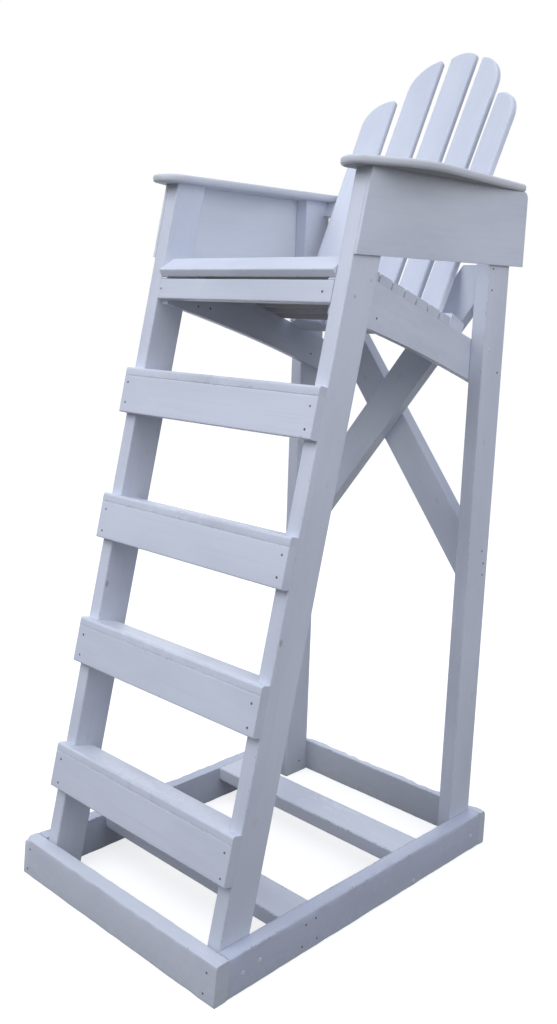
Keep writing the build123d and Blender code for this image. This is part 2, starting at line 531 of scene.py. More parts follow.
class Surface:
    """A board's surface as its paint meets it: places on it, noise, rubbed edges and cut ends."""

    def __init__(self, graph: Graph, board: Board, work: Brushwork) -> None:
        """Read the surface in the board's own ways.

        Args:
            graph: The graph of the board's material.
            board: The board.
            work: How the paint lies.
        """
        place = graph.node("ShaderNodeTexCoord", "Object")
        own = graph.node("ShaderNodeMapping", "Vector", {"vector_type": "TEXTURE"},
                         {"Vector": place, "Location": board.middle, "Rotation": board.axes.to_euler()})
        grown = graph.vector("ADD", own, board.seed)
        self.half = board.half
        self.along, self.across, self.through = graph.split(own)
        self.height = graph.split(place)[2]
        self.grain = graph.noise(grown, work.grain)
        self.lines = graph.noise(grown, work.lines)
        self.brush = graph.noise(grown, work.brush)
        self.cloud = graph.noise(grown, work.cloud)
        self.speck = graph.noise(grown, work.speck)
        self.fleck = graph.noise(grown, work.fleck)
        edge = (self.half.y - abs(self.across)) + (self.half.z - abs(self.through))
        self.rubbed = (edge + self.speck.swing(work.rub_waver)).fall(*work.rub_band)
        self.cut_end = (self.half.x - abs(self.along)).fall(*work.end_band)


@dataclass(frozen=True)
class Knot:
    """A knot that shows through the paint, at millimetres along and across from a board's middle."""

    spot: Spot
    across: float
    strength: float
    oval: float = 1.7
    core: float = 0.2
    rim: float = 0.5

    def shown(self, on: Surface) -> Sock:
        """Draw the knot as a soft oval.

        Args:
            on: The surface that it is in.

        Returns:
            The share of the knot that shows.
        """
        reach = ((on.along - mm(self.spot[0])) / self.oval).hypot(on.across - mm(self.spot[1]))
        return reach.fall(mm(self.across * self.core), mm(self.across * self.rim)) * self.strength


@dataclass(frozen=True)
class Paint:
    """White outdoor paint, brushed along the board over wood and a little worn."""

    name: str
    coat: Colour = srgb(226, 230, 240)
    thin: Colour = srgb(205, 210, 222)
    # A soiled tone, which also darkens undersides as painted shade.
    grime_and_shade: Colour = srgb(142, 142, 140)
    bare: Colour = srgb(104, 92, 78)
    amber: Colour = srgb(168, 158, 142)
    fresh: Colour = srgb(236, 239, 246)
    relief: float = 0.30
    wear: float = 0.5
    ground: float = 0.5
    scuff: float = 0.0
    # How much the underside is darkened as painted shade.
    under: float = 0.0
    touched: float = 0.08
    knots: tuple[Knot, ...] = ()
    work: Brushwork = Brushwork()

    def dress(self, board: Board) -> bpy.types.Material:
        """Paint a board along its own grain.

        Args:
            board: The board.

        Returns:
            The finished material, which is also put on the board.
        """
        work = self.work
        material, graph = Graph.of_material(f"{self.name}.{board.name}", self.coat)
        on = Surface(graph, board, work)
        dirt_and_shade = self.dirt_and_shade(on)
        chip = (on.rubbed * on.fleck.rise(*work.chip_fleck) * self.wear).clamped()
        rough = (on.lines * work.line_rough + on.grain * work.grain_rough + dirt_and_shade * work.dirt_rough
                 + chip * work.chip_rough + work.even_rough).clamped()
        graph.surface({"Base Color": self.colour(graph, on, dirt_and_shade, chip), "Roughness": rough,
                       "Normal": graph.bump(self.relief, work.bump_depth, self.height(on, chip)),
                       "Specular IOR Level": work.specular})
        if board.node.material_slots:
            board.node.material_slots[0].material = material
        else:
            board.node.data.materials.append(material)
        return material

    def dirt_and_shade(self, on: Surface) -> Sock:
        """Gather soiling on rubbed edges, cut ends, where feet step and splashed near the ground, darkening towards
        the ground, and painted shade on undersides.

        Args:
            on: The surface.

        Returns:
            The share of soiling and painted shade, which may pass 1.
        """
        work = self.work
        # Darker towards the ground, over the lowest three quarters of a metre.
        low = (on.height + on.cloud.swing(work.low_waver)).fall(*work.low_band)
        splash = (on.height + on.cloud.swing(work.splash_waver)).fall(*work.splash_band)
        dirt_and_shade = (on.rubbed * self.wear * on.speck.rise(*work.rub_dirt) + on.cut_end * work.end_dirt
                + low * self.ground * work.low_darkening + splash * self.ground * on.speck.rise(*work.splash_dirt))
        if self.scuff:
            stepped = (abs(on.along) + on.cloud.swing(work.step_waver)).fall(*work.step_band)
            dirt_and_shade = dirt_and_shade + stepped * (on.speck.rise(*work.step_speck) + on.cloud.rise(*work.step_cloud)) * self.scuff
        # Painted shade: the whole underside is darkened towards the soiled tone.
        if self.under:
            dirt_and_shade = dirt_and_shade + (on.through + on.half.z).fall(*work.under_shade_band) * self.under
        return dirt_and_shade

    def colour(self, graph: Graph, on: Surface, dirt_and_shade: Sock, chip: Sock) -> Sock:
        """Lay thin and fresh paint, soiling and painted shade, knots and chips over one another.

        Args:
            graph: The graph of the material.
            on: The surface.
            dirt_and_shade: The share of soiling, and of painted shade on undersides.
            chip: The share of bare wood.

        Returns:
            The colour.
        """
        work = self.work
        coat = graph.blend(on.cloud.rise(*work.thin_cloud) + on.lines.rise(*work.thin_line), self.coat, self.thin)
        coat = graph.blend(on.grain.rise(*work.thin_grain), coat, self.thin)
        patch = ((on.speck + on.cloud) / 2.0).rise(*work.fresh_patch)
        coat = graph.blend(patch * self.touched, coat, self.fresh)
        # Soiling, darkening towards the ground and painted shade on undersides, in one darker tone.
        coat = graph.blend(dirt_and_shade.clamped(), coat, self.grime_and_shade)
        for knot in self.knots:
            coat = graph.blend(knot.shown(on), coat, self.amber)
        return graph.blend(chip * work.chip_bare, coat, self.bare)

    def height(self, on: Surface, chip: Sock) -> Sock:
        """Raise the grain, the brush marks and the rings of cut ends, and sink what is chipped or rubbed.

        Args:
            on: The surface.
            chip: The share of bare wood.

        Returns:
            The height.
        """
        work = self.work
        heart = (on.across + work.ring_heart[0]).hypot(on.through + work.ring_heart[1])
        rings = (heart * work.ring_waves).sine()
        return (on.grain * work.grain_bump + on.lines * work.line_bump + on.brush * work.brush_bump
                + on.cut_end * rings * work.ring_bump - chip * work.chip_sink - on.rubbed * work.rub_sink)


@dataclass(frozen=True)
class ScrewSteel:
    """Dull zinc of a sunk screw head, with rust and old paint in it."""

    name: str = "screw_steel"
    zinc: Colour = srgb(74, 76, 84)
    rust: Colour = srgb(70, 54, 46)
    paint: Colour = srgb(150, 154, 164)
    patch: Waves = Waves(90.0, 90.0)
    spot: Waves = Waves(620.0, 620.0)
    rusted: Ramp = (0.45, 0.62)
    painted: Ramp = (0.58, 0.66, 0.5)
    bright: Band = (0.4, 0.6)
    metal: float = 0.35
    rough: float = 0.4
    spot_rough: float = 0.4
    relief: float = 0.3
    bump_depth: float = mm(0.3)

    def make(self) -> bpy.types.Material:
        """Build the finish.

        Returns:
            The material.
        """
        material, graph = Graph.of_material(self.name, self.zinc)
        place = graph.node("ShaderNodeTexCoord", "Object")
        patch = graph.noise(place, self.patch)
        spot = graph.noise(place, self.spot)
        colour = graph.blend(spot.rise(*self.rusted), self.zinc, self.rust)
        colour = graph.blend(patch.rise(*self.painted), colour, self.paint)
        graph.surface({"Base Color": colour, "Roughness": spot * self.spot_rough + self.rough,
                       "Metallic": spot.fall(*self.bright) * self.metal,
                       "Normal": graph.bump(self.relief, self.bump_depth, spot)})
        return material


@dataclass(frozen=True)
class PaintedFiller:
    """Filler over a sunk screw, sanded and painted with the board."""

    name: str = "painted_filler"
    coat: Colour = srgb(222, 226, 234)
    dull: Colour = srgb(188, 192, 203)
    patch: Waves = Waves(160.0, 160.0, 4.0)
    pit: Waves = Waves(900.0, 900.0)
    dull_patch: Ramp = (0.4, 0.7, 0.7)
    dull_pit: Ramp = (0.55, 0.7, 0.2)
    rough: float = 0.4
    patch_rough: float = 0.3
    relief: float = 0.35
    bump_depth: float = mm(0.4)

    def make(self) -> bpy.types.Material:
        """Build the finish.

        Returns:
            The material.
        """
        material, graph = Graph.of_material(self.name, self.coat)
        place = graph.node("ShaderNodeTexCoord", "Object")
        patch = graph.noise(place, self.patch)
        pit = graph.noise(place, self.pit)
        colour = graph.blend(patch.rise(*self.dull_patch) + pit.rise(*self.dull_pit), self.coat, self.dull)
        graph.surface({"Base Color": colour, "Roughness": patch * self.patch_rough + self.rough,
                       "Normal": graph.bump(self.relief, self.bump_depth, pit)})
        return material


# ---------------------------------------------------------------------------------------------------------
# Fasteners


@dataclass(frozen=True)
class Fixing:
    """A place where a fastener sits, and the way it faces."""

    place: Vector
    facing: Vector


@dataclass(frozen=True)
class HeadShape:
    """A round head one unit across, built ring by ring from its base up, with or without a sunk cross.

    Each ring is a radius and a height. The cross is the reach of its arms, of its waist and its depth.
    """

    name: str
    rings: tuple[tuple[float, float], ...]
    sides: int = 16
    cross: Optional[tuple[float, float, float]] = None
    cross_taper: float = 0.8

    def build(self) -> bpy.types.Object:
        """Build the head.

        Returns:
            An object that isn't shown, for the fasteners to be copied from.
        """
        sheet = bmesh.new()
        loops = [self.loop(sheet, [radius] * self.sides, height) for radius, height in self.rings]
        if self.cross:
            arm, waist, depth = self.cross
            reach = [arm if step % (self.sides // 4) == 0 else waist for step in range(self.sides)]
            top = self.rings[-1][1]
            loops.append(self.loop(sheet, reach, top))
            loops.append(self.loop(sheet, [r * self.cross_taper for r in reach], top - depth))
        for outer, inner in zip(loops, loops[1:]):
            for step in range(self.sides):
                after = (step + 1) % self.sides
                sheet.faces.new((outer[step], outer[after], inner[after], inner[step]))
        sheet.faces.new(loops[-1])
        sheet.faces.new(list(reversed(loops[0])))
        bmesh.ops.recalc_face_normals(sheet, faces=sheet.faces)
        mesh = bpy.data.meshes.new(self.name)
        sheet.to_mesh(mesh)
        sheet.free()
        return bpy.data.objects.new(self.name, mesh)

    @staticmethod
    def loop(sheet: bmesh.types.BMesh, reach: Sequence[float], height: float) -> list[bmesh.types.BMVert]:
        """Add one ring of corners.

        Args:
            sheet: The mesh that is being built.
            reach: How far each corner is from the middle.
            height: How high the ring is.

        Returns:
            The corners in order.
        """
        step = 2.0 * math.pi / len(reach)
        return [sheet.verts.new((r * math.cos(i * step), r * math.sin(i * step), height))
                for i, r in enumerate(reach)]


@dataclass
class FastenerRow:
    """All fasteners of one kind, copied onto their places by one node tree, with lengths in millimetres."""

    name: str
    shape: HeadShape
    finish: bpy.types.Material
    slot: str
    across: float
    sunk: float
    seed: int = 7
    spread: float = 0.08
    size_seed: float = 3.0

    def tree(self) -> bpy.types.NodeTree:
        """Write the node tree that sets a head on every place.

        Returns:
            The tree, with named inputs.
        """
        tree = bpy.data.node_groups.new(f"{self.name}_tree", "GeometryNodeTree")
        for label, kind in (("Places", "NodeSocketGeometry"), ("Head", "NodeSocketObject"),
                            ("Head Diameter", "NodeSocketFloat"), ("Spread", "NodeSocketFloat"),
                            ("Seed", "NodeSocketInt"), ("Finish", "NodeSocketMaterial")):
            tree.interface.new_socket(label, in_out="INPUT", socket_type=kind)
        tree.interface.new_socket("Heads", in_out="OUTPUT", socket_type="NodeSocketGeometry")
        graph = Graph(tree)
        given = graph.node("NodeGroupInput").socket.node.outputs
        entry = {socket.name: Sock(graph, socket) for socket in given if socket.name}
        points = graph.node("GeometryNodeMeshToPoints", "Points", {"mode": "VERTICES"}, {"Mesh": entry["Places"]})
        facing = graph.node("GeometryNodeInputNamedAttribute", "Attribute", {"data_type": "FLOAT_VECTOR"},
                            {"Name": "facing"})
        turned = graph.node("FunctionNodeAlignRotationToVector", "Rotation", {"axis": "Z"}, {"Vector": facing})
        spin = graph.node("FunctionNodeRandomValue", "Value", {"data_type": "FLOAT"},
                          {"Min": 0.0, "Max": math.pi, "Seed": entry["Seed"]})
        about = graph.node("FunctionNodeAxisAngleToRotation", "Rotation", None,
                           {"Axis": (0.0, 0.0, 1.0), "Angle": spin})
        turned = graph.node("FunctionNodeRotateRotation", "Rotation", {"rotation_space": "LOCAL"},
                            {"Rotation": turned, "Rotate By": about})
        grow = graph.node("FunctionNodeRandomValue", "Value", {"data_type": "FLOAT"},
                          {"Min": 1.0 - entry["Spread"], "Max": 1.0 + entry["Spread"],
                           "Seed": entry["Seed"] + self.size_seed})
        head = graph.node("GeometryNodeObjectInfo", "Geometry", {"transform_space": "ORIGINAL"},
                          {"Object": entry["Head"]})
        heads = graph.node("GeometryNodeInstanceOnPoints", "Instances", None,
                           {"Points": points, "Instance": head, "Rotation": turned,
                            "Scale": grow * entry["Head Diameter"]})
        heads = graph.node("GeometryNodeRealizeInstances", "Geometry", None, {"Geometry": heads})
        heads = graph.node("GeometryNodeSetMaterial", "Geometry", None,
                           {"Geometry": heads, "Material": entry["Finish"]})
        graph.node("NodeGroupOutput", None, None, {"Heads": heads})
        return tree

    def fixings(self, tables: Sequence[Table]) -> list[Fixing]:
        """Turn tables of spots into places on the boards.

        Args:
            tables: Spots by board and side.

        Returns:
            The places.
        """
        found = []
        for (name, side), spots in (row for table in tables for row in table.items()):
            board = Board.of(name)
            facing = board.facing(side)
            found += [Fixing(board.point(spot, side) - facing * mm(self.sunk), facing) for spot in spots]
        return found

    def build(self, fixings: Sequence[Fixing]) -> bpy.types.Object:
        """Set a head on every place and make it one plain mesh.

        Args:
            fixings: Where the heads go.

        Returns:
            The piece, riding on the body.
        """
        places = bpy.data.meshes.new(f"{self.name}_places")
        places.from_pydata([fixing.place for fixing in fixings], [], [])
        facing = places.attributes.new("facing", "FLOAT_VECTOR", "POINT")
        facing.data.foreach_set("vector", [number for fixing in fixings for number in fixing.facing])
        carrier = bpy.data.objects.new(f"{self.name}_carrier", places)
        bpy.context.scene.collection.objects.link(carrier)
        head = self.shape.build()
        tree = self.tree()
        modifier = carrier.modifiers.new("heads", "NODES")
        modifier.node_group = tree
        values = {"Head": head, "Head Diameter": mm(self.across), "Spread": self.spread, "Seed": self.seed,
                  "Finish": self.finish}
        for item in tree.interface.items_tree:
            if item.name in values and item.in_out == "INPUT":
                modifier[item.identifier] = values[item.name]
        shown = carrier.evaluated_get(bpy.context.evaluated_depsgraph_get())
        mesh = bpy.data.meshes.new_from_object(shown)
        piece = bpy.data.objects.new(self.name, mesh)
        bpy.context.scene.collection.objects.link(piece)
        carrier.modifiers.clear()
        bpy.data.objects.remove(carrier)
        bpy.data.objects.remove(head)
        mesh.name = self.name
        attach(piece, "root")
        return piece


# ---------------------------------------------------------------------------------------------------------
# Worn edges


@dataclass(frozen=True)
class EdgeWear:
    """Long edges of a board that feet and tools have knocked, with lengths in millimetres.

    The wear is even, plus coarse and fine waves, counted in a metre and as a multiple, and more at the corners.
    """

    depth: float = 5.5
    reach: float = 13.0
    step: float = 8.0
    rim_shares: tuple[float, ...] = (1.0, 0.6, 0.3)
    even: float = 0.40
    coarse: float = 0.75
    coarse_waves: float = 20.0
    fine: float = 0.5
    fine_multiple: float = 2.3
    edge_shift: Spot = (3.0, 5.0)
    corner: float = 20.0
    corner_share: float = 0.5
    hidden_share: float = 0.2
    weld: float = 0.01
    sharp_angle: float = 35.0

    def build(self, board: Board, finish: bpy.types.Material, slot: str) -> bpy.types.Object:
        """Make a worn copy of a board, which stands for it.

        Args:
            board: The board.
            finish: The material that goes on the copy.
            slot: The record's material slot; not used.

        Returns:
            The copy, riding on the body.
        """
        sheet = bmesh.new()
        sheet.from_mesh(board.node.data)
        bmesh.ops.remove_doubles(sheet, verts=sheet.verts[:], dist=mm(self.weld))
        for axis, offset in self.cuts(board):
            way = board.axes.col[axis]
            bmesh.ops.bisect_plane(sheet, geom=sheet.verts[:] + sheet.edges[:] + sheet.faces[:],
                                   plane_co=board.middle + way * offset, plane_no=way)
        for vertex in sheet.verts:
            vertex.co += self.knock(vertex.co, board)
        mesh = bpy.data.meshes.new(f"{board.name}_worn")
        sheet.to_mesh(mesh)
        sheet.free()
        mesh.polygons.foreach_set("use_smooth", [True] * len(mesh.polygons))
        mesh.set_sharp_from_angle(angle=math.radians(self.sharp_angle))
        mesh.materials.clear()
        mesh.materials.append(finish)
        piece = bpy.data.objects.new(mesh.name, mesh)
        bpy.context.scene.collection.objects.link(piece)
        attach(piece, "root")
        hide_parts(board.name)
        return piece

    def cuts(self, board: Board) -> list[tuple[int, float]]:
        """List the planes that divide a board, as its own axis and the place along it.

        Args:
            board: The board.

        Returns:
            The planes.
        """
        count = int(2.0 * board.half.x / mm(self.step))
        along = [(0, (2.0 * number / count - 1.0) * board.half.x) for number in range(1, count)]
        reaches = [mm(self.reach * share) for share in self.rim_shares]
        rims = [(axis, sign * (board.half[axis] - reach)) for axis in (1, 2) for sign in (-1.0, 1.0)
                for reach in reaches if board.half[axis] > reach]
        return along + rims

    def knock(self, corner: Vector, board: Board) -> Vector:
        """Tell how far a point of the board's surface is pushed in.

        Args:
            corner: The point.
            board: The board.

        Returns:
            The move.
        """
        inside = board.axes.transposed() @ (corner - board.middle)
        off = Vector([max(0.0, board.half[axis] - abs(inside[axis])) for axis in range(3)])
        share = max(0.0, 1.0 - math.hypot(off.y, off.z) / mm(self.reach))
        if share == 0.0:
            return Vector()
        signs = [math.copysign(1.0, inside[axis]) for axis in range(3)]
        across, through = board.axes.col[1] * signs[1], board.axes.col[2] * signs[2]
        outward = across + through
        seen = outward.z > 0.0 and outward.dot(Vector((board.middle.x, board.middle.y, 0.0))) > 0.0
        shift = Vector((0.0, signs[1] * self.edge_shift[0], signs[2] * self.edge_shift[1]))
        at = Vector((inside.x * self.coarse_waves, 0.0, 0.0)) + shift + board.seed
        rough = self.even + noise.noise(at) * self.coarse + noise.noise(at * self.fine_multiple) * self.fine
        end = self.corner_share * max(0.0, 1.0 - off.x / mm(self.corner)) ** 2 if seen else 0.0
        rounded = share * share * (3.0 - 2.0 * share)
        amount = mm(self.depth) * rounded * (max(0.0, rough) + end)
        amount *= 1.0 if seen else self.hidden_share
        return outward * (-amount / math.sqrt(2.0)) - board.axes.col[0] * (signs[0] * amount * end)


# ---------------------------------------------------------------------------------------------------------
# Sub-assemblies of the chair


@dataclass
class Assembly:
    """Boards that are painted alike, with the fasteners that show on them."""

    title: str
    boards: tuple[str, ...]
    paint: Paint
    screws: Table = field(default_factory=dict)
    plugs: Table = field(default_factory=dict)

    def dress(self) -> None:
        """Paint every board and report it."""
        for name in self.boards:
            board = Board.of(name)
            self.finish(board, self.paint_for(name).dress(board))
            LOG.info("%s: painted %s", self.title, name)

    def finish(self, board: Board, material: bpy.types.Material) -> None:
        """Do what a painted board still needs, which is nothing by default."""

    def paint_for(self, name: str) -> Paint:
        """Give the paint of one board."""
        return self.paint

    @staticmethod
    def twins(pattern: str, side: Side, spots: tuple[Spot, ...]) -> Table:
        """List the same spots on a right board and on the other side of its left twin.

        Args:
            pattern: The boards' names, with a gap for right or left.
            side: The side of the right board.
            spots: The spots.

        Returns:
            The table of both boards.
        """
        return {(pattern.format("right"), side): spots, (pattern.format("left"), side.other): spots}


@dataclass
class GroundFrame(Assembly):
    """The four edge boards on the ground and the two slats between them."""

    title: str = "ground frame"
    boards: tuple[str, ...] = ("base_front_board", "base_back_board", "base_left_board", "base_right_board",
                               "base_front_slat", "base_middle_slat")
    paint: Paint = Paint("base_paint", wear=1.7, ground=0.8, relief=0.55, touched=0.5)
    worn: tuple[str, ...] = ("base_front_board", "base_back_board", "base_left_board", "base_right_board")
    edges: EdgeWear = EdgeWear()
    # Painted shade: a darker, bluer coat for the two side boards.
    side_shade_coat: Colour = srgb(208, 214, 230)
    side_shade_thin: Colour = srgb(190, 197, 214)
    side_touched: float = 0.15
    corner_spots: tuple[Spot, ...] = ((327.0, -19.5), (320.5, 30.5), (-333.0, -22.0), (-340.0, 32.0))
    slat_spots: tuple[Spot, ...] = ((-195.5, 26.0), (-228.5, 23.0), (-189.5, -28.0), (-239.5, -27.0))
    plug_spots: tuple[Spot, ...] = ((-426.5, -2.0), (-376.0, 4.5), (178.5, -34.5), (429.5, -4.0))

    def __post_init__(self) -> None:
        """Set the screws and plugs of the outer faces."""
        self.screws = {("base_front_board", Side.REAR): self.corner_spots,
                       ("base_back_board", Side.FRONT): self.corner_spots,
                       **self.twins("base_{}_board", Side.FRONT, self.slat_spots)}
        self.plugs = self.twins("base_{}_board", Side.FRONT, self.plug_spots)

    def finish(self, board: Board, material: bpy.types.Material) -> None:
        """Wear the edges of an outer board.

        Args:
            board: The board.
            material: The paint on it.
        """
        if board.name in self.worn:
            piece = self.edges.build(board, material, "base_paint")
            LOG.info("%s: wore the edges of %s", self.title, piece.name)

    def paint_for(self, name: str) -> Paint:
        """Give the paint of one board, with a darker, bluer coat on the two side boards as painted shade.

        Args:
            name: The board's name.

        Returns:
            The paint.
        """
        if name in ("base_left_board", "base_right_board"):
            return replace(self.paint, coat=self.side_shade_coat, thin=self.side_shade_thin, touched=self.side_touched)
        return self.paint


@dataclass
class Uprights(Assembly):
    """The leaning front legs and the rear posts."""

    title: str = "uprights"
    boards: tuple[str, ...] = ("front_leg_left", "front_leg_right", "rear_post_left", "rear_post_right")
    paint: Paint = Paint("leg_paint", wear=0.45, ground=0.6)
    leg_plugs: tuple[Spot, ...] = ((654.0, -26.0), (609.5, 14.5))
    post_plugs: tuple[Spot, ...] = ((478.0, 18.0),)
    foot_spots: tuple[Spot, ...] = ((-821.0, -12.0),)
    post_spots: tuple[Spot, ...] = ((671.0, 26.5), (621.0, 26.5), (422.0, -23.5),
                                    (-33.0, -15.5), (-67.0, -25.5), (-97.0, -24.5))
    leg_knots: tuple[Knot, ...] = (Knot((-129.0, 37.0), 13.0, 0.6), Knot((212.0, -12.0), 14.0, 0.12),
                                   Knot((-520.0, 8.0), 18.0, 0.12))
    post_knots: tuple[Knot, ...] = (Knot((250.0, 12.0), 16.0, 0.14), Knot((-430.0, -20.0), 18.0, 0.14))

    def __post_init__(self) -> None:
        """Set the screws and plugs of the outer faces, and the screws inside the posts' feet."""
        self.screws = {**self.twins("rear_post_{}", Side.FRONT, self.post_spots),
                       **self.twins("rear_post_{}", Side.REAR, self.foot_spots)}
        self.plugs = {**self.twins("front_leg_{}", Side.FRONT, self.leg_plugs),
                      **self.twins("rear_post_{}", Side.FRONT, self.post_plugs)}

    def paint_for(self, name: str) -> Paint:
        """Give the paint of one upright, with its knots.

        Args:
            name: The board's name.

        Returns:
            The paint.
        """
        knots = self.leg_knots if name.startswith("front_leg") else self.post_knots
        return replace(self.paint, knots=knots)


@dataclass
class Ladder(Assembly):
    """Four steps between the legs, each a riser board with a tread on it."""

    title: str = "ladder"
    boards: tuple[str, ...] = tuple(f"{kind}_{step}" for kind in ("rung", "tread") for step in range(1, 5))
    paint: Paint = Paint("rung_paint", wear=0.5, ground=0.45)
    tread_scuff: float = 0.34
    riser_spots: tuple[tuple[Spot, ...], ...] = (
        ((-294.5, -28.5), (-289.5, 30.0), (300.5, -25.0), (302.0, 30.5)),
        ((-296.0, -24.0), (-297.0, 27.0), (296.0, -23.5), (296.5, 28.5)),
        ((-298.0, -26.0), (-298.5, 28.0), (301.5, -25.5), (298.5, 22.5)),
        ((-303.0, -28.0), (-300.5, 21.5), (300.0, -22.5), (297.0, 26.5)))

    def __post_init__(self) -> None:
        """Set the screws of the risers."""
        self.screws = {(f"rung_{step}", Side.REAR): spots for step, spots in enumerate(self.riser_spots, 1)}

    def paint_for(self, name: str) -> Paint:
        """Give the paint of one board, scuffed where feet stand.

        Args:
            name: The board's name.

        Returns:
            The paint.
        """
        scuff = self.tread_scuff if name.startswith("tread") else 0.0
        return replace(self.paint, scuff=scuff)


@dataclass
class Seat(Assembly):
    """The seat's slats, its front rail and the stringers that carry it."""

    title: str = "seat"
    boards: tuple[str, ...] = ("seat_front_rail", *(f"seat_slat_{n}" for n in range(1, 10)),
                               "seat_stringer_left", "seat_stringer_right")
    paint: Paint = Paint("seat_paint", wear=0.35, ground=0.2, scuff=0.12)
    # Painted shade on the undersides of the seat slats.
    slat_under: float = 0.9
    rail_spots: tuple[Spot, ...] = ((-272.0, 0.0), (252.0, 1.0))
    left_spots: tuple[Spot, ...] = ((-198.5, -24.0), (-158.0, -15.0), (249.0, -6.5))
    right_spots: tuple[Spot, ...] = ((-159.0, -19.5),)

    def __post_init__(self) -> None:
        """Set the screws of the rail and the stringers."""
        self.screws = {("seat_front_rail", Side.REAR): self.rail_spots,
                       ("seat_stringer_left", Side.FRONT): self.left_spots,
                       ("seat_stringer_right", Side.FRONT): self.right_spots}

    def paint_for(self, name: str) -> Paint:
        """Give the paint of one board, with painted shade on the undersides of the slats.

        Args:
            name: The board's name.

        Returns:
            The paint.
        """
        under = self.slat_under if name.startswith("seat_slat") else 0.0
        return replace(self.paint, under=under)


@dataclass
class Backrest(Assembly):
    """The five fanned slats of the back and the two rails cut to their hollow."""

    title: str = "back"
    boards: tuple[str, ...] = (*(f"back_slat_{n}" for n in range(1, 6)), "back_rail_lower", "back_rail_upper")
    paint: Paint = Paint("back_paint", wear=0.35, ground=0.0)


@dataclass
class Arms(Assembly):
    """The armrests and the thin panels under them."""

    title: str = "arms"
    boards: tuple[str, ...] = ("arm_panel_left", "arm_panel_right", "armrest_left", "armrest_right")
    paint: Paint = Paint("arm_paint", wear=0.4, ground=0.0)
    # Painted shade: a darker coat on the armrests.
    rest_shade_coat: Colour = srgb(216, 218, 224)
    rest_shade_thin: Colour = srgb(196, 199, 206)
    # Painted light: a lighter coat on the left arm panel.
    left_lit_coat: Colour = srgb(236, 239, 244)
    left_lit_thin: Colour = srgb(220, 224, 231)
    # Painted shade under the armrests, much more under the right one.
    rest_under_shade: Mapping[str, float] = field(
        default_factory=lambda: {"armrest_left": 0.2, "armrest_right": 0.85})

    def paint_for(self, name: str) -> Paint:
        """Give the paint of one board: a darker coat and a darkened underside on the armrests as painted shade, and a
        lighter coat on the left panel as painted light.

        Args:
            name: The board's name.

        Returns:
            The paint.
        """
        # Painted shade on the armrests: a darker coat and darkened undersides.
        if name in self.rest_under_shade:
            return replace(self.paint, coat=self.rest_shade_coat, thin=self.rest_shade_thin, under=self.rest_under_shade[name])
        # Painted light: the left panel gets a lighter coat.
        if name == "arm_panel_left":
            return replace(self.paint, coat=self.left_lit_coat, thin=self.left_lit_thin)
        return self.paint


@dataclass
class CrossBraces(Assembly):
    """The two crossed braces between the rear posts."""

    title: str = "braces"
    boards: tuple[str, ...] = ("brace_front", "brace_rear")
    paint: Paint = Paint("brace_paint", wear=0.4, ground=0.4,
                         knots=(Knot((140.0, -10.0), 18.0, 0.14), Knot((-260.0, 14.0), 14.0, 0.14)))


# ---------------------------------------------------------------------------------------------------------
# Floor, light and camera


@dataclass(frozen=True)
class Lamp:
    """A large soft lamp: its place, its watts, its side in metres, where it points and how wide it shines."""

    name: str
    place: Place
    level: float
    size: float
    aim: Place = (0.0, 0.0, 1.1)
    spread: float = 180.0
    colour: Colour = (0.95, 0.975, 1.0)

    def build(self) -> None:
        """Hang the lamp."""
        data = bpy.data.lights.new(self.name, "AREA")
        data.energy = self.level
        data.size = self.size
        data.spread = math.radians(self.spread)
        data.color = self.colour
        lamp = bpy.data.objects.new(self.name, data)
        lamp.location = self.place
        lamp.rotation_euler = (Vector(self.aim) - Vector(self.place)).to_track_quat("-Z", "Y").to_euler()
        bpy.context.scene.collection.objects.link(lamp)


